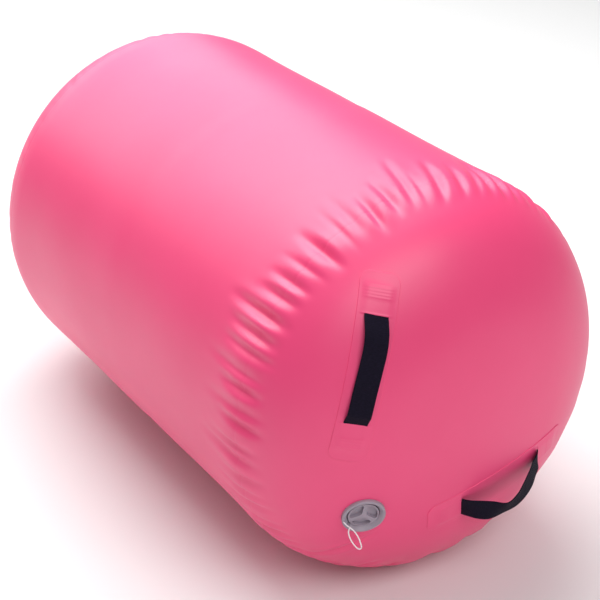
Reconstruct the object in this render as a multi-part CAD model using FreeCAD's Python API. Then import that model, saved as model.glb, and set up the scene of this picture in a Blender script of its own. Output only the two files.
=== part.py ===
import FreeCAD, Part
import math
import os

# An inflatable gymnastics roll: a coated-fabric tube with two domed ends, lying on its side.
# Row frame: the roll's axis runs along Y at height AXIS_Z, the valve end faces -Y, and z = 0 is the ground.

V = FreeCAD.Vector

# ---- driving dimensions, in millimetres ----
RADIUS = 300.0  # outside radius of the inflated tube
LENGTH = 1020.0  # from the crown of one dome to the crown of the other
FLAT_DEPTH = 1.0  # how far the ground flattens the bottom of the tube
FABRIC = 0.9  # thickness of the coated fabric, and of every tape and patch made of it
GLUE = 0.05  # adhesive or weld line between two layers

# an inflated end is a crown, a knee and a shoulder: three tangent arcs
CROWN_R = 750.0
KNEE_R = 250.0
SHOULDER_R = 150.0
KNEE_FROM = 135.0  # distance from the axis where the crown becomes the knee
SHOULDER_FROM = 240.0  # and where the knee becomes the shoulder

SEAM_ARC = 364.0  # along the dome from its crown to the joint of end panel and wall
SEAM_TAPE = 30.0  # width of the tape inside each joint
SEAM_GAP = 0.3  # open line between two butted edges
LONG_SEAM_ANGLE = -40.0  # where the wall's lengthwise joint lies, from +X towards +Z

# handles: webbing that comes out of two slots in a patch
SLOT_SPACING = 144.0
WEB_WIDTH = 32.0
WEB = 1.6  # webbing thickness
TAB = 34.0  # webbing under the patch beyond each slot
FOLD = 12.0  # the end of the tab that is folded double
PATCH_LENGTH = 250.0
PATCH_WIDTH = 52.0
PATCH_CORNER = 14.0
SLOT_OPENING = 4.5
SLOT_PLAY = 1.0  # how much longer a slot is than the webbing is wide
STRAP_GAP = 0.5  # between the moving span of a strap and its fixed ends
BELOW, ABOVE = -40, 30  # how far a handle's outlines reach below and above its chord

# a strap's free span, edge on: its slopes at the slot and past the knee, the knee's radius, the length of the
# span that moves and how far it hangs down at rest; angles in degrees

TAUT_RISE = {"start": 30.0, "knee": 11.0, "knee_r": 40.0, "moves": 118.0, "tilt": 0.0}
SLACK_RISE = {"start": 56.7, "knee": 56.7, "knee_r": 0.0, "moves": 123.0, "tilt": 15.0}
# the valve end's two handles: centre across and above the axis, and the direction of the strap from +X to +Z
TAUT_HANDLE = {"at": (-167.0, 124.5), "turn": 70.6}
SLACK_HANDLE = {"at": (46.2, -113.1), "turn": 11.0}

# valve, along the dome's normal at its centre; heights are above the outside of the fabric
VALVE_AT = (-174.2, -93.6)
FLANGE_R = 30.0
FLANGE_TOP = 4.0
FLANGE_EDGE = 2.2  # rounding of the flange's rim
DISH_TOP_R = 26.5
DISH_R = 22.5
DISH_FLOOR = -8.0
NECK_R = 24.5
NECK_STEP = -14.0
LOWER_NECK_R = 20.0
BORE_R = 17.0
SEAT_TOP = -24.0
SEAT_R = 13.0
SEAT_BOTTOM = -27.0
FIT = 0.05  # radial clearance of a running fit
HOLE_R = 24.9  # hole in the fabric
DOUBLER_R = 50.0
GASKET = 1.0
NUT_R = 31.0
NUT_BOTTOM = -12.0
NUT_NOTCHES = 8
NUT_NOTCH = 2.5  # depth, and half the width, of a notch for the spanner
RIBS = 3  # between the seat and the hub that guides the stem
RIB_HALF = 1.2
CAP_R = 21.5
CAP_TOP = 0.5
CAP_UNDER = -6.0
SKIRT_BOTTOM = -12.5
SKIRT_INNER_R = 14.5
CAP_EDGE = 0.8  # rounding of the cap's rim
PIT_FLOOR = -4.4
PIT_R = 19.3
PIT_HEIGHT = 12.0
PIT_OUTER_CORNER = 3.0
PIT_INNER_CORNER = 5.0
ARM_HALF = 3.0
ARM_ANGLES = (80.0, 200.0, 320.0)
TETHER_ANGLE = 212.0
STEM_R = 2.5
BUTTON_R = 7.5
BUTTON_TOP = -9.5
BUTTON_UNDER = -12.0
HUB_R = 4.5
HUB_TOP = -20.0
STEM_BOTTOM = -35.0
SCREW_SLOT = 0.8  # depth, and half the width, of the slot in the stem's button
PLATE_R = 15.8
PLATE_TOP = -28.1
PLATE_BOTTOM = -31.0
SEAL_R = (15.4, 12.0)
STEM_NUT = (8.0, 3.0)  # across its flats, and high
STEM_THREAD_FIT = 0.02
SPRING_R = 6.0
SPRING_WIRE = 1.0
SPRING_TURNS = 4.5
RUNS_PER_TURN = 16
RING_THICK = 0.8
CORD_D = 1.8
LUG_HALF = 1.4  # half the width of the upright lug on the tether ring
# the tether hangs from the flange's rim as a loop and comes back to the lug
TETHER_ROUTE = [
    (-201.7, -470.7, 201.7), (-199.2, -472.3, 197.0), (-194.5, -474.5, 192.1), (-187.8, -476.2, 184.3),
    (-181.5, -477.0, 172.0), (-177.3, -477.4, 159.2), (-175.3, -477.1, 149.9), (-179.2, -475.2, 148.4),
    (-185.1, -473.9, 156.9), (-190.5, -472.6, 167.3), (-194.0, -471.9, 178.4), (-194.1, -471.4, 185.2),
    (-192.0, -472.4, 190.3),
]
ARC_SHARE = 0.45  # of the shorter run beside a point, taken by the arc that rounds it

HALF = LENGTH / 2
AXIS_Z = RADIUS - FLAT_DEPTH
AXIS = V(0, 0, AXIS_Z)
REACH = RADIUS + 50  # half the width of the blocks that cut the roll


# ---- the inflated shape ----
def dome_arcs():
    """Centre (r, depth), radius and the two slope angles of each arc, from the crown outwards."""
    slope_1 = math.asin(KNEE_FROM / CROWN_R)
    slope_2 = math.asin(math.sin(slope_1) + (SHOULDER_FROM - KNEE_FROM) / KNEE_R)
    arcs = []
    r, depth, angle = 0.0, 0.0, 0.0
    for radius, end in ((CROWN_R, slope_1), (KNEE_R, slope_2), (SHOULDER_R, math.pi / 2)):
        centre = (r - radius * math.sin(angle), depth + radius * math.cos(angle))
        arcs.append((centre, radius, angle, end))
        r = centre[0] + radius * math.sin(end)
        depth = centre[1] - radius * math.cos(end)
        angle = end
    return arcs


ARCS = dome_arcs()
RISE = ARCS[-1][0][1]  # depth of a whole dome


def on_dome(arc, offset, angle):
    (r, depth), radius = arc[0], arc[1] + offset
    return r + radius * math.sin(angle), depth - radius * math.cos(angle)


def depth_at_arc(length):
    """Depth behind the crown of the point that is length along the dome from the crown."""
    for arc in ARCS:
        run = arc[1] * (arc[3] - arc[2])
        if length <= run:
            return on_dome(arc, 0, arc[2] + length / arc[1])[1]
        length -= run
    return RISE + length


def surface_point(x, up, end=-1):
    """Point on the outside of a dome and the outward normal there; end -1 is the valve end."""
    r = math.hypot(x, up)
    for arc in ARCS:
        sine = (r - arc[0][0]) / arc[1]
        if sine <= math.sin(arc[3]):
            break
    angle = math.asin(sine)
    depth = on_dome(arc, 0, angle)[1]
    point = V(x, end * (HALF - depth), AXIS_Z + up)
    normal = V(sine * x / r, end * math.cos(angle), sine * up / r)
    return point, normal


def inflated(offset):
    """The whole roll grown outwards by offset, as one solid."""
    near, far = [], []
    for arc in ARCS:
        points = [on_dome(arc, offset, a) for a in (arc[2], (arc[2] + arc[3]) / 2, arc[3])]
        a, b, c = (V(r, depth - HALF, 0) for r, depth in points)
        near.append(Part.Arc(a, b, c).toShape())
        a, b, c = (V(r, HALF - depth, 0) for r, depth in reversed(points))
        far.insert(0, Part.Arc(a, b, c).toShape())
    side = RADIUS + offset
    edges = near
    edges.append(Part.makeLine(V(side, RISE - HALF, 0), V(side, HALF - RISE, 0)))
    edges += far
    edges.append(Part.makeLine(V(0, HALF + offset, 0), V(0, -HALF - offset, 0)))
    solid = Part.Face(Part.Wire(edges)).revolve(V(0, 0, 0), V(0, 1, 0), 360)
    solid.translate(AXIS)
    above = Part.makeBox(2 * REACH, 2 * HALF + 100, 2 * REACH, V(-REACH, -HALF - 50, -offset))
    return solid.common(above)


SOLIDS = {}


def grown(offset):
    key = round(offset, 3)
    if key not in SOLIDS:
        SOLIDS[key] = inflated(key)
    return SOLIDS[key]


def layer(outer, inner):
    return grown(outer).cut(grown(inner))


def slab(y0, y1):
    return Part.makeBox(2 * REACH, y1 - y0, 2 * REACH, V(-REACH, y0, -20))


# ---- helpers ----
def frame_matrix(origin, x_axis, y_axis, z_axis):
    return FreeCAD.Matrix(
        x_axis.x, y_axis.x, z_axis.x, origin.x,
        x_axis.y, y_axis.y, z_axis.y, origin.y,
        x_axis.z, y_axis.z, z_axis.z, origin.z,
        0, 0, 0, 1)


def placed(shape, matrix):
    copy = shape.copy()
    copy.Placement = FreeCAD.Placement(matrix)
    return copy


def about_z(shape, degrees):
    copy = shape.copy()
    copy.rotate(V(0, 0, 0), V(0, 0, 1), degrees)
    return copy


def ring(outer, inner, bottom, top):
    solid = Part.makeCylinder(outer, top - bottom, V(0, 0, bottom))
    if inner > 0:
        solid = solid.cut(Part.makeCylinder(inner, top - bottom + 2, V(0, 0, bottom - 1)))
    return solid


def block(x0, x1, y0, y1, z0, z1):
    return Part.makeBox(x1 - x0, y1 - y0, z1 - z0, V(x0, y0, z0))


def rounded_block(length, width, corner, z0, z1):
    solid = block(-length / 2, length / 2, -width / 2, width / 2, z0, z1)
    upright = [e for e in solid.Edges if abs(e.BoundBox.ZLength) > 1]
    return solid.makeFillet(corner, upright)


def revolved(points):
    """Solid of revolution about Z from an outline of (r, z) points."""
    wire = Part.makePolygon([V(r, 0, z) for r, z in points + points[:1]])
    return Part.Face(wire).revolve(V(0, 0, 0), V(0, 0, 1), 360)


def save(name, shape):
    solids = shape.Solids
    shape = solids[0] if len(solids) == 1 else Part.makeCompound(solids)
    if not shape.isValid() or not solids:
        raise RuntimeError("bad shape: " + name)
    shape.exportStep("parts/" + name + ".step")
    box = shape.BoundBox
    print(name, len(solids), "solids", round(shape.Volume / 1000, 2), "cm3",
          [round(v, 1) for v in (box.XMin, box.YMin, box.ZMin, box.XMax, box.YMax, box.ZMax)])


# ---- fabric shell ----
def fabric_shell(valve):
    seam = depth_at_arc(SEAM_ARC)
    cut_y = HALF - seam
    shell = layer(0, -FABRIC)
    hole = placed(ring(HOLE_R, 0, BELOW, ABOVE), valve)
    near = shell.common(slab(-HALF - 5, -cut_y - SEAM_GAP / 2)).cut(hole)
    far = shell.common(slab(cut_y + SEAM_GAP / 2, HALF + 5))
    wall = shell.common(slab(-cut_y + SEAM_GAP / 2, cut_y - SEAM_GAP / 2))
    joint = block(RADIUS - 20, RADIUS + 20, -HALF, HALF, -SEAM_GAP / 2, SEAM_GAP / 2)
    joint.rotate(V(0, 0, 0), V(0, 1, 0), -LONG_SEAM_ANGLE)
    joint.translate(AXIS)
    save("valve_end_panel", near)
    save("plain_end_panel", far)
    save("barrel_wall", wall.cut(joint))

    taped = layer(-FABRIC - GLUE, -2 * FABRIC - GLUE)
    y0 = HALF - depth_at_arc(SEAM_ARC - SEAM_TAPE / 2)
    y1 = HALF - depth_at_arc(SEAM_ARC + SEAM_TAPE / 2)
    save("valve_end_seam_tape", taped.common(slab(-y0, -y1)))
    save("plain_end_seam_tape", taped.common(slab(y1, y0)))
    wedge = block(RADIUS - 20, RADIUS + 20, -y1 + 1, y1 - 1, -SEAM_TAPE / 2, SEAM_TAPE / 2)
    wedge.rotate(V(0, 0, 0), V(0, 1, 0), -LONG_SEAM_ANGLE)
    wedge.translate(AXIS)
    save("lengthwise_seam_tape", taped.common(wedge))
    doubler = placed(ring(DOUBLER_R, HOLE_R, BELOW, ABOVE), valve)
    save("valve_doubler", taped.common(doubler))


# ---- handles ----
def handle_frame(handle):
    """Frame at the middle of the chord between the slots: x along the strap, z out of the dome."""
    x, up = handle["at"]
    turn = math.radians(handle["turn"])
    half = SLOT_SPACING / 2
    for _ in range(6):
        step_x, step_up = half * math.cos(turn), half * math.sin(turn)
        ends = [surface_point(x + k * step_x, up + k * step_up)[0] for k in (-1, 1)]
        half *= SLOT_SPACING / ends[1].sub(ends[0]).Length
    along = ends[1].sub(ends[0]).normalize()
    normal = surface_point(x, up)[1]
    out = normal.sub(V(along).multiply(normal.dot(along))).normalize()
    middle = ends[0].add(ends[1]).multiply(0.5)
    return middle, along, out.cross(along), out


def end_zone(start, stop, width):
    """The two blocks from start to stop beyond the middle of the handle, mirrored."""
    one = block(start, stop, -width / 2, width / 2, BELOW, ABOVE)
    two = block(-stop, -start, -width / 2, width / 2, BELOW, ABOVE)
    return Part.makeCompound([one, two])


def layered(outer, inner, zone, matrix):
    return layer(outer, inner).common(placed(zone, matrix))


def patch(matrix):
    slot = SLOT_SPACING / 2
    top = GLUE + FABRIC
    web_top = 2 * GLUE + WEB
    fold_top = 2 * GLUE + 2 * WEB
    fold_from = slot + TAB - FOLD
    outline = rounded_block(PATCH_LENGTH, PATCH_WIDTH, PATCH_CORNER, BELOW, ABOVE)
    sheet = layered(top, GLUE, outline, matrix)
    wall = 2 * FABRIC
    pocket = layered(web_top + FABRIC, GLUE, end_zone(slot, slot + TAB + FABRIC, WEB_WIDTH + wall), matrix)
    lump = layered(fold_top + FABRIC, GLUE,
                   end_zone(fold_from - FABRIC, slot + TAB + FABRIC, WEB_WIDTH + wall), matrix)
    clear = WEB_WIDTH + 2 * GLUE
    hollow = layered(web_top, 0, end_zone(slot - SLOT_OPENING, slot + TAB + GLUE, clear), matrix)
    lump_hollow = layered(fold_top, 0, end_zone(fold_from - GLUE, slot + TAB + GLUE, clear), matrix)
    mouth = layered(fold_top + FABRIC, 0, end_zone(slot - SLOT_OPENING, slot, WEB_WIDTH + SLOT_PLAY), matrix)
    return sheet.fuse(pocket).fuse(lump).cut(hollow).cut(lump_hollow).cut(mouth).removeSplitter()


def band(rise):
    """The free span of the webbing between the slots, seen edge on in x and z."""
    half = SLOT_SPACING / 2
    foot = GLUE + WEB / 2
    start, knee = math.radians(rise["start"]), math.radians(rise["knee"])
    knee_r = rise["knee_r"]
    run = knee_r * (math.sin(start) - math.sin(knee))
    climb = knee_r * (math.cos(knee) - math.cos(start))
    crown_r = (half - run) / math.sin(knee)
    crown_centre = foot + climb - crown_r * math.cos(knee)
    t = WEB / 2

    def side(offset):
        def crown(angle):
            radius = crown_r + offset
            return V(radius * math.sin(angle), 0, crown_centre + radius * math.cos(angle))

        def bend(angle, sign):
            x = sign * (half - run - knee_r * math.sin(knee) + (knee_r + offset) * math.sin(angle))
            z = foot + climb + (knee_r + offset) * math.cos(angle) - knee_r * math.cos(knee)
            return V(x, 0, z)
        edges = []
        if knee_r:
            middle = (start + knee) / 2
            edges.append(Part.Arc(bend(start, -1), bend(middle, -1), bend(knee, -1)).toShape())
        edges.append(Part.Arc(crown(-knee), crown(0), crown(knee)).toShape())
        if knee_r:
            edges.append(Part.Arc(bend(knee, 1), bend(middle, 1), bend(start, 1)).toShape())
        return edges

    outer, inner = side(t), side(-t)
    ends = [Part.makeLine(outer[-1].Vertexes[-1].Point, inner[-1].Vertexes[-1].Point),
            Part.makeLine(outer[0].Vertexes[0].Point, inner[0].Vertexes[0].Point)]
    face = Part.Face(Part.Wire(Part.__sortEdges__(outer + inner + ends)))
    face.translate(V(0, -WEB_WIDTH / 2, 0))
    web = face.extrude(V(0, WEB_WIDTH, 0))
    for sign in (-1, 1):
        bead = Part.makeCylinder(t, WEB_WIDTH, V(sign * half, -WEB_WIDTH / 2, foot), V(0, 1, 0))
        web = web.fuse(bead)
    return web.removeSplitter()


def handle(name, where, rise, half_turn):
    middle, along, across, out = handle_frame(where)
    matrix = frame_matrix(middle, along, across, out)
    slot = SLOT_SPACING / 2
    moving = rise["moves"] / 2
    web = band(rise)
    span = web.common(block(-moving, moving, -WEB_WIDTH, WEB_WIDTH, BELOW, 2 * ABOVE))
    span.rotate(V(0, 0, GLUE + WEB / 2), V(1, 0, 0), rise["tilt"])
    fixed = web.common(end_zone(moving + STRAP_GAP, slot, 2 * WEB_WIDTH))
    tabs = layered(GLUE + WEB, GLUE, end_zone(slot, slot + TAB, WEB_WIDTH), matrix)
    folds = layered(GLUE + 2 * WEB, GLUE, end_zone(slot + TAB - FOLD, slot + TAB, WEB_WIDTH), matrix)
    ends = placed(fixed, matrix).cut(grown(GLUE)).fuse(tabs).fuse(folds).removeSplitter()
    pieces = {"_patch": patch(matrix), "_strap": placed(span, matrix), "_strap_ends": ends}
    for suffix, shape in pieces.items():
        if half_turn:
            shape = shape.copy()
            shape.rotate(V(0, 0, 0), V(0, 0, 1), 180)
        save(name + suffix, shape)


# ---- valve ----
def valve_frame():
    point, normal = surface_point(*VALVE_AT)
    up = V(0, 0, 1).sub(V(normal).multiply(normal.z)).normalize()
    return frame_matrix(point, up.cross(normal), up, normal)


def polar(r, degrees, z=0.0):
    return V(r * math.cos(math.radians(degrees)), r * math.sin(math.radians(degrees)), z)


def rounded_rim(disc, radius, top, rounding):
    """The disc with its outer top edge rounded."""
    edge = [e for e in disc.Edges if abs(e.BoundBox.ZMin - top) < 0.01 and e.BoundBox.XMax > radius - 1]
    return disc.makeFillet(rounding, edge)


def valve_body(matrix):
    rim = rounded_rim(ring(FLANGE_R, NECK_R - 1, -6, FLANGE_TOP), FLANGE_R, FLANGE_TOP, FLANGE_EDGE)
    rim = placed(rim, matrix).cut(grown(GLUE))
    core = revolved([(NECK_R, FLANGE_TOP), (NECK_R, NECK_STEP), (LOWER_NECK_R, NECK_STEP - 2),
                     (LOWER_NECK_R, SEAT_BOTTOM), (SEAT_R, SEAT_BOTTOM), (SEAT_R, SEAT_TOP),
                     (BORE_R, SEAT_TOP), (BORE_R, DISH_FLOOR), (DISH_R, DISH_FLOOR), (DISH_R, FLANGE_TOP)])
    hub = ring(HUB_R, STEM_R + FIT, SEAT_BOTTOM, HUB_TOP)
    for k in range(RIBS):
        rib = block(HUB_R - 0.5, SEAT_R + 1, -RIB_HALF, RIB_HALF, SEAT_BOTTOM, SEAT_TOP)
        core = core.fuse(about_z(rib, 360 / RIBS * k + 20))
    core = core.fuse(hub)
    body = placed(core, matrix).fuse(rim)
    dish = revolved([(0, FLANGE_TOP + 3), (0, -1), (DISH_R, -1), (DISH_TOP_R, FLANGE_TOP),
                     (DISH_TOP_R, FLANGE_TOP + 3)])
    half = LUG_HALF + 0.6
    notch = about_z(block(20, DISH_R + 2.2, -half, half, DISH_FLOOR + 1.0, FLANGE_TOP + 2), TETHER_ANGLE)
    return body.cut(placed(dish.fuse(notch), matrix)).removeSplitter()


def clamp_nut(matrix):
    nut = ring(NUT_R, NECK_R + FIT, NUT_BOTTOM, 2)
    notch = block(NUT_R - NUT_NOTCH, NUT_R + 2, -NUT_NOTCH, NUT_NOTCH, NUT_BOTTOM - 1, NUT_BOTTOM + 4)
    for k in range(NUT_NOTCHES):
        nut = nut.cut(about_z(notch, 360 / NUT_NOTCHES * k))
    return placed(nut, matrix).common(grown(-2 * FABRIC - GASKET - 3 * GLUE))


def finger_pit(angle):
    """Sector between two arms of the grip, with rounded corners."""
    apex = V(ARM_HALF / math.sin(math.radians(60)), 0, PIT_FLOOR)
    corners = [apex, apex.add(polar(2 * CAP_R, 60)), apex.add(polar(2 * CAP_R, -60)), apex]
    prism = Part.Face(Part.makePolygon(corners)).extrude(V(0, 0, PIT_HEIGHT))
    pit = prism.common(ring(PIT_R, 0, PIT_FLOOR, PIT_FLOOR + PIT_HEIGHT))
    for radius, at_apex in ((PIT_OUTER_CORNER, False), (PIT_INNER_CORNER, True)):
        upright = [e for e in pit.Edges if e.BoundBox.ZLength > PIT_HEIGHT - 1]
        pit = pit.makeFillet(radius, [e for e in upright if (e.BoundBox.XMax < apex.x + 1) == at_apex])
    return about_z(pit, angle)


def valve_cap():
    cap = rounded_rim(ring(CAP_R, 0, CAP_UNDER, CAP_TOP), CAP_R, CAP_TOP, CAP_EDGE)
    for angle in ARM_ANGLES:
        cap = cap.cut(finger_pit(angle + 60))
    return cap.fuse(ring(BORE_R - FIT, SKIRT_INNER_R, SKIRT_BOTTOM, CAP_UNDER)).removeSplitter()


def tether_ring():
    """A thin ring under the cap with an upright lug for the cord."""
    bottom, top = CAP_UNDER - GLUE - RING_THICK, CAP_UNDER - GLUE
    flat = ring(CAP_R - 0.3, BORE_R + 0.3, bottom, top)
    foot = block(CAP_R - 1.5, DISH_R + 1.6, -LUG_HALF, LUG_HALF, bottom, top)
    lug = block(DISH_R + 0.2, DISH_R + 1.6, -LUG_HALF, LUG_HALF, bottom, FLANGE_TOP + 2.4)
    return flat.fuse(about_z(foot.fuse(lug), TETHER_ANGLE)).removeSplitter()


def spring():
    """Round wire along a coil of short straight runs with mitred corners."""
    bottom, top = SEAT_TOP + SPRING_WIRE / 2 + GLUE, BUTTON_UNDER - SPRING_WIRE / 2 - GLUE

    def on_coil(turns):
        height = bottom + (top - bottom) * turns / SPRING_TURNS
        return polar(SPRING_R, 360 * turns, height)

    coil = [on_coil(k / RUNS_PER_TURN) for k in range(int(SPRING_TURNS * RUNS_PER_TURN) + 1)]
    section = Part.Wire(Part.makeCircle(SPRING_WIRE / 2, coil[0], coil[1].sub(coil[0])))
    mitred = 1
    return Part.makePolygon(coil).makePipeShell([section], True, False, mitred)


def tether_cord():
    """A round tube along straight runs joined by tangent arcs."""
    points = [V(*p) for p in TETHER_ROUTE]
    edges, start, length, radii = [], points[0], 0.0, []
    for k in range(1, len(points) - 1):
        back, ahead = points[k - 1].sub(points[k]), points[k + 1].sub(points[k])
        cut = ARC_SHARE * min(back.Length, ahead.Length)
        turn = math.pi - back.getAngle(ahead)
        radius = cut / math.tan(turn / 2)
        back.normalize()
        ahead.normalize()
        first, last = points[k].add(back * cut), points[k].add(ahead * cut)
        inward = back.add(ahead).normalize()
        middle = points[k].add(inward * (radius / math.cos(turn / 2) - radius))
        edges += [Part.makeLine(start, first), Part.Arc(first, middle, last).toShape()]
        start = last
        radii.append(round(radius, 1))
    edges.append(Part.makeLine(start, points[-1]))
    path = Part.Wire(edges)
    section = Part.Wire(Part.makeCircle(CORD_D / 2, points[0], points[1].sub(points[0])))
    tube = path.makePipeShell([section], True, False)
    ideal = math.pi * CORD_D ** 2 / 4 * path.Length
    print("tether length", round(path.Length, 1), "volume over ideal", round(tube.Volume / ideal, 4))
    print("tether radii", radii)
    return tube


def hexagon(across, hole, bottom, top):
    points = [polar(across / math.sqrt(3), 60 * k, bottom) for k in range(7)]
    nut = Part.Face(Part.makePolygon(points)).extrude(V(0, 0, top - bottom))
    return nut.cut(ring(hole, 0, bottom - 1, top + 1))


def valve(matrix):
    save("valve_body", valve_body(matrix))
    gasket = layer(-2 * FABRIC - 2 * GLUE, -2 * FABRIC - GASKET - 2 * GLUE)
    save("clamp_gasket", gasket.common(placed(ring(FLANGE_R, HOLE_R, BELOW, ABOVE), matrix)))
    save("clamp_nut", clamp_nut(matrix))
    gasket_top = CAP_UNDER - RING_THICK - 2 * GLUE
    stem = ring(BUTTON_R, 0, BUTTON_UNDER, BUTTON_TOP).fuse(ring(STEM_R, 0, STEM_BOTTOM, BUTTON_UNDER))
    slot = block(-BUTTON_R, BUTTON_R, -SCREW_SLOT, SCREW_SLOT, BUTTON_TOP - SCREW_SLOT, BUTTON_TOP + 1)
    across, high = STEM_NUT
    nut_top = PLATE_BOTTOM - GLUE
    pieces = {
        "valve_cap": valve_cap(),
        "cap_gasket": ring(CAP_R - 1.5, BORE_R + 0.3, DISH_FLOOR + GLUE, gasket_top),
        "tether_ring": tether_ring(),
        "valve_stem": stem.cut(slot),
        "stem_nut": hexagon(across, STEM_R + STEM_THREAD_FIT, nut_top - high, nut_top),
        "seal_plate": ring(PLATE_R, STEM_R + FIT, PLATE_BOTTOM, PLATE_TOP),
        "seal_ring": ring(*SEAL_R, PLATE_TOP + GLUE, SEAT_BOTTOM - GLUE),
        "valve_spring": spring(),
    }
    for name, shape in pieces.items():
        save(name, placed(shape, matrix))
    save("tether_cord", tether_cord())


# ---- build ----
os.makedirs("parts", exist_ok=True)
valve_matrix = valve_frame()
fabric_shell(valve_matrix)
valve(valve_matrix)
for end, half_turn in (("valve_end", False), ("plain_end", True)):
    handle(end + "_taut_handle", TAUT_HANDLE, TAUT_RISE, half_turn)
    handle(end + "_slack_handle", SLACK_HANDLE, SLACK_RISE, half_turn)
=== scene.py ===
import math
import random

import bpy
import numpy as np
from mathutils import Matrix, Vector


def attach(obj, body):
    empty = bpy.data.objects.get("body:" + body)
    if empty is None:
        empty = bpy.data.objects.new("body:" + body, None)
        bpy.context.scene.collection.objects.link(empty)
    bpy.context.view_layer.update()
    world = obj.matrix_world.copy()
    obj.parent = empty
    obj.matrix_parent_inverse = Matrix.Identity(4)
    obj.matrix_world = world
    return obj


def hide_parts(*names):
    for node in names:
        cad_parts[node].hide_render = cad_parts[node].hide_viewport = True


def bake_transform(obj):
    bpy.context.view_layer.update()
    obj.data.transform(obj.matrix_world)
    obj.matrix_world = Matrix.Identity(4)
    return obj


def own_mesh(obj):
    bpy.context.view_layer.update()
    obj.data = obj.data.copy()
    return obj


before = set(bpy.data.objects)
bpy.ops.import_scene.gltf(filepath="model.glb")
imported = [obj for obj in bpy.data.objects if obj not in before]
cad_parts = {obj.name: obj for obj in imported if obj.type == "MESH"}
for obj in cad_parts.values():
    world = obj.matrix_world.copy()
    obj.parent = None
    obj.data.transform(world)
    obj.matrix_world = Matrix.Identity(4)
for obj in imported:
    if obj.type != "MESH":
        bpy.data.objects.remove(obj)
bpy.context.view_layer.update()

# ---- sizes, in metres, as in the part ----
RADIUS = 0.300
HALF = 0.510  # from the middle of the roll to the crown of either dome
AXIS_Z = 0.299
CROWN = (0.750, 0.135)  # each arc of a dome: its radius and how far from the axis it ends
KNEE = (0.250, 0.240)
SHOULDER = (0.150, 0.300)
SEAM_ARC = 0.364  # along the dome from its crown to the joint of end panel and wall
LONG_SEAM_ANGLE = math.radians(-40)

SLOT = 0.072  # from the middle of a handle to each of its slots
WEB_WIDTH = 0.032
WEB = 0.0016
SHEET = 0.00095
PATCH = (0.250, 0.052)
PATCH_CORNER = 0.014
TAB = 0.034
FOLD = 0.012
HANDLES = {"taut_handle": ((-0.1670, 0.1245), 70.6), "slack_handle": ((0.0462, -0.1131), 11.0)}
VALVE = Vector((-0.1742, -0.47742, 0.2054))
VALVE_NORMAL = Vector((-0.37968, -0.90234, -0.20401))
VALVE_HOLE = 0.0275
CORD_D = 0.0018
CORD_ROUTE = [
    (-0.2017, -0.4707, 0.2017), (-0.1992, -0.4723, 0.1970), (-0.1945, -0.4745, 0.1921),
    (-0.1878, -0.4762, 0.1843), (-0.1815, -0.4770, 0.1720), (-0.1773, -0.4774, 0.1592),
    (-0.1753, -0.4771, 0.1499), (-0.1792, -0.4752, 0.1484), (-0.1851, -0.4739, 0.1569),
    (-0.1905, -0.4726, 0.1673), (-0.1940, -0.4719, 0.1784), (-0.1941, -0.4714, 0.1852),
    (-0.1920, -0.4724, 0.1903),
]
SPRING_R, SPRING_WIRE, SPRING_TURNS = 0.006, 0.001, 4.5
SPRING_BOTTOM, SPRING_TOP = -0.02395, -0.01205  # along the valve's normal, under the fabric

AROUND = 720  # points round the roll
WAVE_PERIOD = 0.314  # metres from band to band of a wave texture whose scale is 1


# ---- materials ----
class Nodes:
    """A material's node tree, with a Principled shader ready to link to."""

    def __init__(self, name, color, roughness, **sockets):
        self.material = bpy.data.materials.new(name)
        self.material.use_nodes = True
        self.tree = self.material.node_tree
        self.shader = self.tree.nodes["Principled BSDF"]
        self.shader.inputs["Base Color"].default_value = (*color, 1)
        self.shader.inputs["Roughness"].default_value = roughness
        for key, value in sockets.items():
            self.shader.inputs[key.replace("_", " ")].default_value = value
        self.height = None

    def add(self, kind, **inputs):
        node = self.tree.nodes.new("ShaderNode" + kind)
        for key, value in inputs.items():
            node.inputs[key.replace("_", " ")].default_value = value
        return node

    def link(self, source, output, target, socket):
        self.tree.links.new(source.outputs[output], target.inputs[socket])

    def coordinates(self, output, scale=(1, 1, 1)):
        where = self.add("TexCoord")
        mapping = self.add("Mapping", Scale=scale)
        self.link(where, output, mapping, "Vector")
        return mapping

    def noise(self, space, scale, detail=3.0, stretch=(1, 1, 1)):
        node = self.add("TexNoise", Scale=scale, Detail=detail)
        self.link(self.coordinates(space, stretch), "Vector", node, "Vector")
        return node

    def mottle(self, source, low, high, dark, light):
        """Base colour that runs between two tints as the noise goes from low to high."""
        ramp = self.tree.nodes.new("ShaderNodeValToRGB")
        ramp.color_ramp.elements[0].position = low
        ramp.color_ramp.elements[1].position = high
        ramp.color_ramp.elements[0].color = (*dark, 1)
        ramp.color_ramp.elements[1].color = (*light, 1)
        self.link(source, "Fac", ramp, "Fac")
        self.link(ramp, "Color", self.shader, "Base Color")

    def uneven_gloss(self, source, low, high):
        """Roughness that runs from low to high with the noise."""
        spread = self.add("MapRange", To_Min=low, To_Max=high)
        self.link(source, "Fac", spread, "Value")
        self.link(spread, "Result", self.shader, "Roughness")

    def bump(self, source, output, strength, distance):
        """Surface relief, added to any that the material already has."""
        node = self.add("Bump", Strength=strength, Distance=distance)
        self.link(source, output, node, "Height")
        if self.height:
            self.link(self.height, "Normal", node, "Normal")
        self.link(node, "Normal", self.shader, "Normal")
        self.height = node

    def weave(self, pitch, strength, distance):
        """Crossed threads on the UV map, which holds metres."""
        waves = []
        for direction in ("X", "Y"):
            wave = self.add("TexWave", Scale=WAVE_PERIOD / pitch, Distortion=0.0)
            wave.bands_direction = direction
            self.link(self.coordinates("UV"), "Vector", wave, "Vector")
            waves.append(wave)
        both = self.tree.nodes.new("ShaderNodeMath")
        both.operation = "MAXIMUM"
        for k, wave in enumerate(waves):
            self.tree.links.new(wave.outputs["Fac"], both.inputs[k])
        self.bump(both, "Value", strength, distance)


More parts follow.
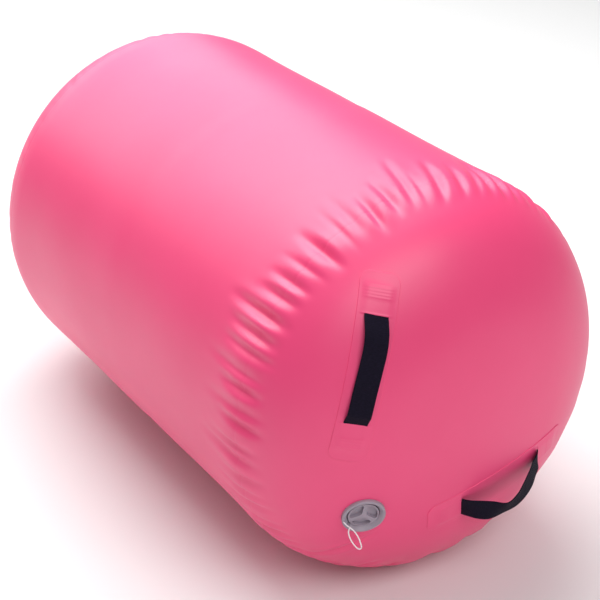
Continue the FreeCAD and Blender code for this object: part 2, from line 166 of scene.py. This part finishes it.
def coated_fabric(name):
    """Woven cloth under a glossy pink coating."""
    nodes = Nodes(name, (0.90, 0.052, 0.20), 0.5,
                  Specular_IOR_Level=0.85, Sheen_Weight=0.03, Sheen_Roughness=0.5)
    cloud = nodes.noise("Object", 5.0, 4.0)
    nodes.mottle(cloud, 0.3, 0.7, (0.88, 0.047, 0.190), (0.92, 0.055, 0.208))
    smear = nodes.noise("Object", 9.0, 5.0, (1, 0.3, 1))
    nodes.uneven_gloss(smear, 0.40, 0.50)
    nodes.weave(0.0011, 0.10, 0.0001)
    ripple = nodes.noise("Object", 60.0, 2.0)
    nodes.bump(ripple, "Fac", 0.12, 0.0006)
    return nodes.material


def webbing():
    nodes = Nodes("black_webbing", (0.006, 0.004, 0.015), 0.8,
                  Specular_IOR_Level=0.15, Sheen_Weight=0.01)
    thread = nodes.noise("UV", 900.0, 2.0, (1, 0.25, 1))
    nodes.mottle(thread, 0.35, 0.7, (0.0035, 0.0018, 0.0100), (0.0095, 0.0055, 0.0200))
    nodes.weave(0.0014, 0.8, 0.0005)
    return nodes.material


def plastic(name, color, spread):
    """Moulded plastic whose tint wanders by the share spread."""
    roughness = 0.42
    nodes = Nodes(name, color, roughness,
                  Specular_IOR_Level=0.5, Subsurface_Weight=0.06, Subsurface_Scale=0.004)
    cloud = nodes.noise("Object", 90.0, 3.0)
    dark, light = [[c * share for c in color] for share in (1 - spread, 1 + spread)]
    nodes.mottle(cloud, 0.3, 0.7, dark, light)
    nodes.uneven_gloss(cloud, roughness - 0.06, roughness + 0.08)
    grain = nodes.noise("Object", 1600.0, 2.0)
    nodes.bump(grain, "Fac", 0.12, 0.0001)
    return nodes.material


def rubber():
    nodes = Nodes("black_rubber", (0.02, 0.02, 0.02), 0.6)
    grain = nodes.noise("Object", 900.0, 3.0)
    nodes.mottle(grain, 0.3, 0.7, (0.015, 0.015, 0.015), (0.03, 0.03, 0.03))
    nodes.bump(grain, "Fac", 0.2, 0.0001)
    return nodes.material


def spring_wire():
    nodes = Nodes("spring_wire", (0.55, 0.55, 0.57), 0.3, Metallic=1.0)
    drawn = nodes.noise("Object", 700.0, 3.0)
    nodes.mottle(drawn, 0.3, 0.7, (0.45, 0.45, 0.47), (0.62, 0.62, 0.64))
    nodes.uneven_gloss(drawn, 0.25, 0.4)
    return nodes.material


FABRIC = coated_fabric("pink_coated_fabric")
PATCH_FABRIC = coated_fabric("pink_patch_fabric")
WEBBING = webbing()
GREY = plastic("grey_valve_plastic", (0.36, 0.30, 0.36), 0.06)
INNER_GREY = plastic("grey_inner_plastic", (0.33, 0.28, 0.335), 0.06)
CORD_WHITE = plastic("white_cord_plastic", (0.96, 0.88, 0.90), 0.03)
RUBBER = rubber()
WIRE = spring_wire()


# ---- the inflated shape ----
def dome_arcs():
    """Centre (r, depth), radius and the two slope angles of each arc, from the crown outwards."""
    arcs = []
    r, depth, angle = 0.0, 0.0, 0.0
    for radius, reach in (CROWN, KNEE, SHOULDER):
        centre = (r - radius * math.sin(angle), depth + radius * math.cos(angle))
        end = math.asin(min(1.0, (reach - centre[0]) / radius))
        arcs.append((centre, radius, angle, end))
        r, depth, angle = reach, centre[1] - radius * math.cos(end), end
    return arcs


ARCS = dome_arcs()
DOME_ARC = sum(radius * (end - start) for _, radius, start, end in ARCS)
RISE = ARCS[-1][0][1]
WALL_HALF = DOME_ARC + HALF - RISE  # along the surface from a crown to the middle of the roll


def meridian(s):
    """Distance from the axis, depth behind the crown and slope angle at s along the surface."""
    s = np.asarray(s, float)
    r = np.full_like(s, RADIUS)
    depth = RISE + s - DOME_ARC
    slope = np.full_like(s, math.pi / 2)
    start = 0.0
    for centre, radius, low, high in ARCS:
        length = radius * (high - low)
        inside = (s >= start) & (s <= start + length)
        angle = low + (s - start) / radius
        r = np.where(inside, centre[0] + radius * np.sin(angle), r)
        depth = np.where(inside, centre[1] - radius * np.cos(angle), depth)
        slope = np.where(inside, angle, slope)
        start += length
    return r, depth, slope


def smooth(low, high, value):
    """0 below low, 1 above high and an even S between them."""
    t = np.clip((value - low) / (high - low), 0, 1)
    return t * t * (3 - 2 * t)


def near_angle(angle, middle, spread):
    """1 at middle and falling to nothing either side; middle and spread are in degrees."""
    off = (math.degrees(angle) - middle + 180) % 360 - 180
    return math.exp(-(off / spread) ** 2)


class Gathers:
    """The creases round one end, where a flat panel is drawn in to meet the wall.

    Places here are metres along the surface from the crown, and angles are degrees round the roll.
    """

    COUNT = 70
    STRAY = 0.22  # of the even spacing
    INNER, INNER_STRAY = 0.323, (-0.004, 0.010)  # where a crease starts
    DRAWN_IN, DRAWN_IN_AT = 0.062, (288, 48)  # creases low on the roll start nearer the crown
    REACH_SHARE = (0.6, 1.0)
    FAINTEST, FADE = 0.22, 1.6  # more creases are faint than deep
    WIDTH, WIDTH_GAIN, WIDTH_STRAY = 0.0042, 0.0030, 0.0012
    SLANT, SLANT_STRAY = -0.02, 0.07  # sideways for each metre along
    TOP_SLANT, TOP_SLANT_AT = 0.36, (80, 26)  # creases at the top lean over
    LEAD_IN = 0.010  # a crease starts to show this far before its inner end
    FULL_FROM, FULL_TO = 0.30, 0.38  # shares of its length between which a crease is whole
    RIDGE, RIDGE_AT, RIDGE_WIDTH = 0.35, 1.9, 1.1  # beside a crease, as shares of its depth and width
    SWELL, SWELL_RISE, SWELL_FALL = 0.0008, (0.315, 0.345), (0.38, 0.47)  # the rim stands proud
    # angle, inner end, outer end, depth, width and slant
    LONG_FOLDS = [(221, 0.205, 0.370, 0.0026, 0.0060, 0.10), (240, 0.258, 0.370, 0.0034, 0.0070, 0.05),
                  (252, 0.268, 0.370, 0.0034, 0.0070, 0.05), (263, 0.272, 0.380, 0.0040, 0.0080, 0.10)]

    def __init__(self, end, seed, reach, deepest):
        dice = random.Random(seed)
        self.creases = []
        for k in range(self.COUNT):
            angle = (k + dice.uniform(-self.STRAY, self.STRAY)) * math.tau / self.COUNT
            drawn_in = self.DRAWN_IN * near_angle(angle, *self.DRAWN_IN_AT)
            inner = self.INNER - drawn_in + dice.uniform(*self.INNER_STRAY)
            outer = inner + dice.uniform(*self.REACH_SHARE) * reach
            strength = dice.random()
            depth = (self.FAINTEST + (1 - self.FAINTEST) * strength ** self.FADE) * deepest
            width = self.WIDTH + self.WIDTH_GAIN * strength + dice.uniform(0, self.WIDTH_STRAY)
            top_slant = self.TOP_SLANT * near_angle(angle, *self.TOP_SLANT_AT)
            slant = self.SLANT - top_slant + dice.uniform(-self.SLANT_STRAY, self.SLANT_STRAY)
            self.creases.append((angle, inner, outer, depth, width, slant))
        if end < 0:
            self.creases += [(math.radians(fold[0]), *fold[1:]) for fold in self.LONG_FOLDS]

    def height(self, s, angle):
        total = self.SWELL * smooth(*self.SWELL_RISE, s) * (1 - smooth(*self.SWELL_FALL, s))
        for at, inner, outer, depth, width, slant in self.creases:
            off = (angle - at + math.pi) % math.tau - math.pi
            across = off * RADIUS - slant * (s - inner)
            reach = outer - inner
            rise = smooth(inner - self.LEAD_IN, inner + self.FULL_FROM * reach, s)
            along = rise * (1 - smooth(inner + self.FULL_TO * reach, outer, s))
            valley = np.exp(-(across / width) ** 2)
            ridge_off = np.abs(across) - self.RIDGE_AT * width
            ridge = np.exp(-(ridge_off / (self.RIDGE_WIDTH * width)) ** 2)
            total = total + along * depth * (self.RIDGE * ridge - valley)
        return total


# each end's seed, how far its creases reach and the depth of the deepest
GATHERS = {-1: Gathers(-1, 11, 0.150, 0.0064), 1: Gathers(1, 29, 0.060, 0.0011)}


JOINT_DEPTH, JOINT_WIDTH = 0.0003, 0.0012  # the line where end panel and wall meet
UNEVEN, UNEVEN_RISE = 0.0007, (0.33, 0.42)  # slow waves of the wall
PUCKER, PUCKERS_ROUND, PUCKER_DRIFT = 0.0024, 27, 1.4  # height, how many to a turn, and drift
PUCKER_ANGLE, PUCKER_SPREAD = math.radians(288), 0.75
PUCKER_RISE, PUCKER_FALL = (0.225, 0.275), (0.380, 0.450)


def relief(s, angle, end):
    """How far the skin stands off the plain inflated shape.

    It holds the gathers, the joint line, a slow unevenness and, low on the valve end, small puckers.
    """
    joint = -JOINT_DEPTH * np.exp(-((s - SEAM_ARC) / JOINT_WIDTH) ** 2)
    slow = np.sin(3 * angle + 9 * s + end) * np.sin(17 * s + 2 * angle)
    slow = UNEVEN * slow * smooth(*UNEVEN_RISE, s)
    off = np.mod(angle, math.tau) - PUCKER_ANGLE
    low = np.exp(-(off / PUCKER_SPREAD) ** 2) * (end < 0)
    puckers = PUCKER * np.sin(PUCKERS_ROUND * angle + PUCKER_DRIFT * np.sin(5 * angle)) * low
    puckers = puckers * smooth(*PUCKER_RISE, s) * (1 - smooth(*PUCKER_FALL, s))
    return GATHERS[end].height(s, angle) + joint + slow + puckers


def skin_point(s, angle, end, lift=0.0):
    """Points on the skin at s and angle, lifted off it by lift.

    End -1 is the valve end. End 1, the plain one, is the same dome turned half round, and its
    gathers are its own.
    """
    r, depth, slope = meridian(s)
    turned = angle if end < 0 else np.pi - angle
    off = relief(s, turned, end) + lift
    r = r + off * np.sin(slope)
    y = end * (HALF - depth + off * np.cos(slope))
    z = AXIS_Z + r * np.sin(angle)
    return np.stack([r * np.cos(angle), y, np.maximum(z, 0.0)], -1)


# ---- mesh helpers ----
def mesh_piece(name, points, faces, uvs, material):
    mesh = bpy.data.meshes.new(name)
    mesh.from_pydata([tuple(p) for p in points], [], faces)
    layer = mesh.uv_layers.new(name="metres")
    corner = np.empty(len(mesh.loops), int)
    mesh.loops.foreach_get("vertex_index", corner)
    layer.data.foreach_set("uv", np.asarray(uvs, np.float32)[corner].ravel())
    mesh.polygons.foreach_set("use_smooth", np.ones(len(mesh.polygons), bool))
    mesh.materials.append(material)
    mesh.validate()
    piece = bpy.data.objects.new(name, mesh)
    bpy.context.scene.collection.objects.link(piece)
    return piece


def grid_faces(rows, columns, closed, flip=False):
    """Quads of a grid of points; a closed one joins its last column to its first."""
    faces = []
    for i in range(rows - 1):
        for j in range(columns if closed else columns - 1):
            k = (j + 1) % columns
            face = (i * columns + j, i * columns + k, (i + 1) * columns + k, (i + 1) * columns + j)
            faces.append(face[::-1] if flip else face)
    return faces


def angles():
    return np.arange(AROUND) * math.tau / AROUND


def steps(*stretches):
    """Positions along the surface: (from, to, step) stretches joined, each end once."""
    out = [stretches[0][0]]
    for start, stop, step in stretches:
        count = max(1, round((stop - start) / step))
        out += [start + (stop - start) * (k + 1) / count for k in range(count)]
    return np.array(out)


# ---- skins ----
# rows of points along the surface: from, to and step
END_ROWS = ((0.004, 0.300, 0.003), (0.300, SEAM_ARC, 0.002))
WALL_ROWS = ((SEAM_ARC, 0.480, 0.0025), (0.480, WALL_HALF, 0.015))
HOLE_REACH = 0.0016  # points this near the edge of the valve's hole move onto it


def end_skin(name, end):
    rows = steps(*END_ROWS)
    s, angle = np.meshgrid(rows, angles(), indexing="ij")
    points = skin_point(s, angle, end).reshape(-1, 3)
    faces = grid_faces(len(rows), AROUND, True, end > 0)
    crown = skin_point(np.array(0.0), np.array(0.0), end).reshape(1, 3)
    points = np.concatenate([points, crown])
    last = len(points) - 1
    fan = [(last, (j + 1) % AROUND, j) for j in range(AROUND)]
    faces += fan if end < 0 else [f[::-1] for f in fan]
    if end < 0:
        faces = open_for_valve(points, faces)
    return mesh_piece(name, points, faces, points[:, [0, 2]], FABRIC)


def open_for_valve(points, faces):
    """Moves the points beside the valve's hole onto its edge and leaves out the faces inside it."""
    centre, normal = np.array(VALVE), np.array(VALVE_NORMAL)
    away = points - centre
    away -= np.outer(away @ normal, normal)
    distance = np.linalg.norm(away, axis=1)
    near = (points[:, 1] < 0) & (np.abs(distance - VALVE_HOLE) < HOLE_REACH)
    points[near] += away[near] * ((VALVE_HOLE / distance[near]) - 1)[:, None]
    inside = (points[:, 1] < 0) & (distance < VALVE_HOLE - HOLE_REACH)
    return [face for face in faces if not any(inside[v] for v in face)]


def wall_skin():
    near = steps(*WALL_ROWS)
    halves = []
    for end, rows in ((-1, near), (1, near[::-1][1:])):
        s, angle = np.meshgrid(rows, angles(), indexing="ij")
        halves.append(skin_point(s, angle, end, lap(angle)))
    points = np.concatenate(halves)
    rows = len(points)
    along = points[:, 0, 1]
    uvs = np.stack(np.meshgrid(along, angles() * RADIUS, indexing="ij"), -1).reshape(-1, 2)
    faces = grid_faces(rows, AROUND, True)
    return mesh_piece("barrel_skin", points.reshape(-1, 3), faces, uvs, FABRIC)


LAP, LAP_EDGE, LAP_FADE = 0.0006, (-0.0015, 0.0), (0.012, 0.030)


def lap(angle):
    """The wall's lengthwise joint: one edge lies on the other."""
    off = ((angle - LONG_SEAM_ANGLE + math.pi) % math.tau - math.pi) * RADIUS
    return LAP * smooth(*LAP_EDGE, off) * (1 - smooth(*LAP_FADE, off))


# ---- handles ----
DROP_PASSES = 10  # enough to bring a point onto the dome
CHORD_PASSES = 6  # enough to set the slots apart by the chord wanted


def dome_hit(point, direction):
    """Arc length and angle where points moved along direction meet the dome of the valve end."""
    p = np.array(point, float)
    for _ in range(DROP_PASSES):
        r = np.hypot(p[..., 0], p[..., 2] - AXIS_Z)
        s = arc_at(r)
        _, depth, slope = meridian(s)
        sine, up = np.sin(slope), p[..., 2] - AXIS_Z
        out = np.stack([sine * p[..., 0] / r, -np.cos(slope), sine * up / r], -1)
        gap = (p[..., 1] + HALF - depth) * -np.cos(slope)
        p = p - (gap / (out @ np.array(direction)))[..., None] * np.array(direction)
    return arc_at(np.hypot(p[..., 0], p[..., 2] - AXIS_Z)), np.arctan2(p[..., 2] - AXIS_Z, p[..., 0])


def arc_at(r):
    """Arc length along a dome where it is r from the axis."""
    s = np.zeros_like(r)
    for centre, radius, low, high in ARCS:
        angle = np.arcsin(np.clip((r - centre[0]) / radius, -1, 1))
        s = s + radius * (np.clip(angle, low, high) - low)
    return s


def on_dome(x, up):
    """A point of the valve end's dome and the outward normal there."""
    r = math.hypot(x, up)
    s = arc_at(np.array(r))
    _, depth, slope = meridian(s)
    sine = math.sin(slope)
    point = Vector((x, float(depth) - HALF, AXIS_Z + up))
    return point, Vector((sine * x / r, -math.cos(slope), sine * up / r))


def handle_frame(at, turn):
    """Middle of the chord between the slots, and the directions along, across and out of the dome."""
    x, up = at
    turn = math.radians(turn)
    half = SLOT
    for _ in range(CHORD_PASSES):
        ends = [on_dome(x + k * half * math.cos(turn), up + k * half * math.sin(turn))[0]
                for k in (-1, 1)]
        half *= 2 * SLOT / (ends[1] - ends[0]).length
    along = (ends[1] - ends[0]).normalized()
    normal = on_dome(x, up)[1]
    out = (normal - along * normal.dot(along)).normalized()
    return (ends[0] + ends[1]) / 2, along, out.cross(along), out


PATCH_STEP, PATCH_RIM = 0.001, 0.0003  # between rows of points, and the row beside each end
SIDE_IN, SIDE_OUT = 0.0040, 0.0080  # the raised band fades from inside to outside the webbing's edge
TAIL_IN, TAIL_OUT = 0.002, 0.0100  # the same past the webbing's tucked end
FOLD_RISE, SLOT_RISE = 0.006, 0.0004  # lengths over which the patch rises at the fold and at a slot
TAB_SHARE, FOLD_SHARE = 0.55, 0.28  # of the webbing's thickness that shows through the patch
LIP, LIP_WIDTH = 0.0005, 0.0012  # the patch's edge along a slot
STITCH, STITCH_PITCH, STITCH_SHARE = 0.0004, 0.004, 0.3


def patch_height(x, y):
    """Height of the patch's top over the dome: a sheet, raised over the webbing tucked under it."""
    x, y = np.abs(x), np.abs(y)
    side = 1 - smooth(WEB_WIDTH / 2 - SIDE_IN, WEB_WIDTH / 2 + SIDE_OUT, y)
    tail = 1 - smooth(SLOT + TAB - TAIL_IN, SLOT + TAB + TAIL_OUT, x)
    past_slot = smooth(SLOT - SLOT_RISE, SLOT, x)
    fold = smooth(SLOT + TAB - FOLD - FOLD_RISE, SLOT + TAB - FOLD, x) * tail
    lip = LIP * np.exp(-((x - SLOT) / LIP_WIDTH) ** 2) * past_slot
    stitched = STITCH * np.sin(x * math.tau / STITCH_PITCH) * fold
    raised = WEB * TAB_SHARE * (past_slot * tail) + WEB * FOLD_SHARE * fold
    return SHEET + side * (raised + lip + stitched * STITCH_SHARE)


def patch_skin(name, middle, along, across, out, end):
    """A round-cornered patch, laid on the dome square to out."""
    length, width = PATCH
    half, corner = length / 2, PATCH_CORNER
    core = np.arange(-half + PATCH_STEP, half - PATCH_STEP / 2, PATCH_STEP)
    x = np.concatenate([[-half, -half + PATCH_RIM], core, [half - PATCH_RIM, half]])
    beyond = np.clip(np.abs(x) - (half - corner), 0, corner)
    reach = width / 2 - corner + np.sqrt(np.maximum(corner ** 2 - beyond ** 2, 0))
    share = np.concatenate([[-1.0, -0.992], np.linspace(-0.97, 0.97, 49), [0.992, 1.0]])
    grid_x = np.repeat(x[:, None], len(share), 1)
    grid_y = reach[:, None] * share[None]
    base = np.array(middle) + grid_x[..., None] * np.array(along) + grid_y[..., None] * np.array(across)
    s, angle = dome_hit(base, out)
    lift = patch_height(grid_x, grid_y)
    border = np.ones_like(lift, bool)
    border[1:-1, 1:-1] = False
    lift[border] = 0.0
    if end > 0:
        angle = math.pi - angle
    points = skin_point(s, angle, end, lift)
    uvs = np.stack([grid_x, grid_y], -1).reshape(-1, 2)
    faces = grid_faces(len(x), len(share), False, True)
    return mesh_piece(name, points.reshape(-1, 3), faces, uvs, PATCH_FABRIC)


# the free webbing from slot to slot: along, out and sag in metres, and tip in degrees
TAUT_LINE = [(-SLOT, 0.0008, 0, 0), (-0.0690, 0.0026, 0, 0), (-0.0630, 0.0072, 0.0004, 0),
             (-0.0560, 0.0098, 0.0010, 0), (-0.0300, 0.0102, 0.0020, 0), (0.0000, 0.0118, 0.0032, 0),
             (0.0280, 0.0138, 0.0038, 0), (0.0480, 0.0118, 0.0028, 0), (0.0620, 0.0062, 0.0010, 0),
             (0.0690, 0.0026, 0, 0), (SLOT, 0.0008, 0, 0)]
SLACK_LINE = [(-SLOT, 0.0008, 0, 0), (-0.0660, 0.0090, 0.0014, -4), (-0.0560, 0.0190, 0.0034, -12),
              (-0.0410, 0.0285, 0.0075, -9), (-0.0220, 0.0360, 0.0108, 17), (0.0000, 0.0360, 0.0112, 8),
              (0.0200, 0.0305, 0.0104, -3), (0.0400, 0.0220, 0.0090, -9), (0.0550, 0.0135, 0.0060, -8),
              (0.0660, 0.0075, 0.0020, -5), (SLOT, 0.0008, 0, 0)]


def curve_through(knots, count):
    """Catmull-Rom points through the knots."""
    knots = np.array(knots, float)
    knots = np.concatenate([[2 * knots[0] - knots[1]], knots, [2 * knots[-1] - knots[-2]]])
    out = []
    for k in range(1, len(knots) - 2):
        a, b, c, d = knots[k - 1:k + 3]
        for t in np.linspace(0, 1, count, endpoint=False):
            out.append(0.5 * (2 * b + (c - a) * t + (2 * a - 5 * b + 4 * c - d) * t ** 2
                              + (3 * b - a - 3 * c + d) * t ** 3))
    out.append(knots[-2])
    return np.array(out)


def webbing_outline():
    """Section of the webbing, across and through it: a flat band with woven, rounded edges."""
    half, thick, edge = WEB_WIDTH / 2, WEB / 2, 0.0007
    right = [(half - edge + edge * math.sin(a), thick * math.cos(a))
             for a in np.linspace(0, math.pi, 7)]
    left = [(-y, -z) for y, z in right]
    top = [(y, thick) for y in np.linspace(-half + 2 * edge, half - 2 * edge, 9)]
    bottom = [(-y, -z) for y, z in top]
    return np.array(top + right + bottom + left)


def web_half(name, line, middle, along, across, out):
    """The band along line; each half of a handle is a piece of its own."""
    path = np.stack([line[:, 0], -line[:, 2], line[:, 1]], -1)
    tangent = np.gradient(path, axis=0)
    tangent /= np.linalg.norm(tangent, axis=1)[:, None]
    tip = np.radians(line[:, 3])
    width = np.stack([np.zeros_like(tip), np.cos(tip), np.sin(tip)], -1)
    width -= (width * tangent).sum(1)[:, None] * tangent
    width /= np.linalg.norm(width, axis=1)[:, None]
    normal = np.cross(tangent, width)
    outline = webbing_outline()
    local = path[:, None] + outline[None, :, :1] * width[:, None]
    local = local + outline[None, :, 1:] * normal[:, None]
    axes = np.array([along, across, out])
    points = (np.array(middle) + local @ axes).reshape(-1, 3)
    run = np.concatenate([[0], np.cumsum(np.linalg.norm(np.diff(path, axis=0), axis=1))])
    girth = np.concatenate([[0], np.cumsum(np.linalg.norm(np.diff(outline, axis=0), axis=1))])
    uvs = np.stack(np.meshgrid(run, girth, indexing="ij"), -1).reshape(-1, 2)
    return mesh_piece(name, points, grid_faces(len(path), len(outline), True, True), uvs, WEBBING)


def half_turn(vectors, end):
    """The plain end's handles are the valve end's, turned half round the vertical."""
    return [Vector((-v.x, -v.y, v.z)) if end > 0 else v.copy() for v in vectors]


def handle(end_name, end, kind):
    """One handle: its patch, and its webbing in two halves."""
    node = end_name + "_" + kind
    frame_here = handle_frame(*HANDLES[kind])
    patch = patch_skin(node + "_patch_skin", *frame_here, end)
    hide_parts(node + "_patch")
    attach(patch, "root")

    middle, along, across, out = half_turn(frame_here, end)
    line = curve_through(SLACK_LINE if kind == "slack_handle" else TAUT_LINE, 8)
    split = int(np.argmin(np.abs(line[:, 0])))
    for side, part in (("left", line[:split + 1]), ("right", line[split:])):
        web = web_half(node + "_webbing_" + side, part, middle, along, across, out)
        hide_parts(node + "_strap", node + "_strap_ends")
        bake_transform(web)


# ---- the cord ----
def tether():
    """The cap's cord, as a tube along one smooth curve through its route."""
    curve = bpy.data.curves.new("tether_route", "CURVE")
    curve.dimensions = "3D"
    curve.resolution_u = 10
    curve.use_fill_caps = True
    spline = curve.splines.new("NURBS")
    spline.points.add(len(CORD_ROUTE) - 1)
    for point, place in zip(spline.points, CORD_ROUTE):
        point.co = (*place, 1)
    spline.order_u = 3
    spline.use_endpoint_u = True
    guide = bpy.data.objects.new("tether_route", curve)
    path = [tuple(v.co) for v in bpy.data.meshes.new_from_object(guide).vertices]
    curve.bevel_depth = CORD_D / 2
    curve.bevel_resolution = 5
    mesh = bpy.data.meshes.new_from_object(guide)
    bpy.data.objects.remove(guide)
    mesh.name = "cap_tether"
    mesh.materials.clear()
    mesh.materials.append(CORD_WHITE)
    mesh.polygons.foreach_set("use_smooth", np.ones(len(mesh.polygons), bool))
    piece = bpy.data.objects.new("cap_tether", mesh)
    bpy.context.scene.collection.objects.link(piece)
    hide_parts("tether_cord")
    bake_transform(piece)


# ---- the spring ----
COIL_POINTS, WIRE_POINTS = 145, 12  # along the coil and round its wire


def spring():
    """The valve's coil spring, built at one fixed length."""
    up = (Vector((0, 0, 1)) - VALVE_NORMAL * VALVE_NORMAL.z).normalized()
    side = up.cross(VALVE_NORMAL)
    turned = np.linspace(0, SPRING_TURNS * math.tau, COIL_POINTS)
    height = np.linspace(SPRING_BOTTOM + SPRING_WIRE / 2, SPRING_TOP - SPRING_WIRE / 2, COIL_POINTS)
    round_wire = np.arange(WIRE_POINTS) * math.tau / WIRE_POINTS
    radial = np.outer(np.cos(turned), side) + np.outer(np.sin(turned), up)
    centre = np.array(VALVE) + radial * SPRING_R + np.outer(height, VALVE_NORMAL)
    out = radial[:, None] * np.cos(round_wire)[None, :, None]
    out = out + np.array(VALVE_NORMAL) * np.sin(round_wire)[None, :, None]
    points = (centre[:, None] + out * SPRING_WIRE / 2).reshape(-1, 3)
    faces = grid_faces(COIL_POINTS, WIRE_POINTS, True, True)
    first_ring = range(WIRE_POINTS)
    last_ring = range((COIL_POINTS - 1) * WIRE_POINTS, COIL_POINTS * WIRE_POINTS)
    faces += [tuple(first_ring), tuple(last_ring[::-1])]
    piece = mesh_piece("valve_spring_coil", points, faces, points[:, [0, 2]], WIRE)
    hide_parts("valve_spring")
    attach(piece, "root")
    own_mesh(piece)


# ---- build ----
ROLL = {"flat": (math.tau * RADIUS, 2 * (WALL_HALF - SEAM_ARC)), "held": "stretched"}
DISC = {"flat": (2 * SEAM_ARC, 2 * SEAM_ARC), "area": math.pi * SEAM_ARC ** 2, "held": "stretched"}
SKINS = [
    (end_skin("valve_end_skin", -1), DISC, ["valve_end_panel", "valve_end_seam_tape", "valve_doubler"]),
    (end_skin("plain_end_skin", 1), DISC, ["plain_end_panel", "plain_end_seam_tape"]),
    (wall_skin(), ROLL, ["barrel_wall", "lengthwise_seam_tape"]),
]
for skin, cut, nodes in SKINS:
    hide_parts(*nodes)
    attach(skin, "root")

for end_name, end in (("valve_end", -1), ("plain_end", 1)):
    for kind in HANDLES:
        handle(end_name, end, kind)

tether()
spring()

FINISHES = {
    "valve_body": GREY, "valve_cap": GREY, "tether_ring": GREY,
    "clamp_nut": INNER_GREY, "valve_stem": INNER_GREY, "stem_nut": INNER_GREY, "seal_plate": INNER_GREY,
    "clamp_gasket": RUBBER, "cap_gasket": RUBBER, "seal_ring": RUBBER,
}
for node, finish in FINISHES.items():
    for material_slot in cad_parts[node].material_slots:
        material_slot.material = finish


# ---- stage ----
FLOOR_REACH = 6.0
WORLD_STRENGTH = 0.25
# place, aim, size and power
SOFTBOXES = {
    "top_softbox": ((0.1, 0.8, 2.6), (0, 0.1, 0.3), (2.6, 1.6), 76),
    "back_softbox": ((0.1, 3.8, 2.1), (0, 0.2, 0.4), (5.0, 1.6), 80),
    "front_softbox": ((-0.4, -3.3, 3.6), (0, -0.3, 0.3), (3.6, 2.2), 96),
}
EYE = (-1.1032, -1.7239, 1.3979)
EYE_TILT, EYE_TURN = 60.879, -33.585  # degrees
LENS, SENSOR = 87.35, 36  # millimetres


def area_light(name, place, aim, size, power):
    light = bpy.data.lights.new(name, "AREA")
    light.shape = "RECTANGLE"
    light.size, light.size_y = size
    light.energy = power
    lamp = bpy.data.objects.new(name, light)
    lamp.location = place
    lamp.rotation_euler = (Vector(aim) - Vector(place)).to_track_quat("-Z", "Y").to_euler()
    bpy.context.scene.collection.objects.link(lamp)


def stage():
    """A pale floor, a dim white surround and three softboxes."""
    mesh = bpy.data.meshes.new("floor")
    corners = [(x * FLOOR_REACH, y * FLOOR_REACH, 0) for x, y in ((-1, -1), (1, -1), (1, 1), (-1, 1))]
    mesh.from_pydata(corners, [], [(0, 1, 2, 3)])
    floor = bpy.data.objects.new("floor", mesh)
    mesh.materials.append(Nodes("pale_floor", (0.86, 0.86, 0.86), 0.9).material)
    bpy.context.scene.collection.objects.link(floor)
    world = bpy.data.worlds.new("studio")
    world.use_nodes = True
    world.node_tree.nodes["Background"].inputs["Color"].default_value = (1, 1, 1, 1)
    world.node_tree.nodes["Background"].inputs["Strength"].default_value = WORLD_STRENGTH
    bpy.context.scene.world = world
    for name, (place, aim, size, power) in SOFTBOXES.items():
        area_light(name, place, aim, size, power)


def camera():
    lens = bpy.data.cameras.new("camera")
    lens.lens = LENS
    lens.sensor_width = SENSOR
    eye = bpy.data.objects.new("camera", lens)
    eye.location = EYE
    eye.rotation_euler = (math.radians(EYE_TILT), 0, math.radians(EYE_TURN))
    bpy.context.scene.collection.objects.link(eye)
    bpy.context.scene.camera = eye


stage()
camera()
bpy.context.scene.view_settings.view_transform = "Standard"
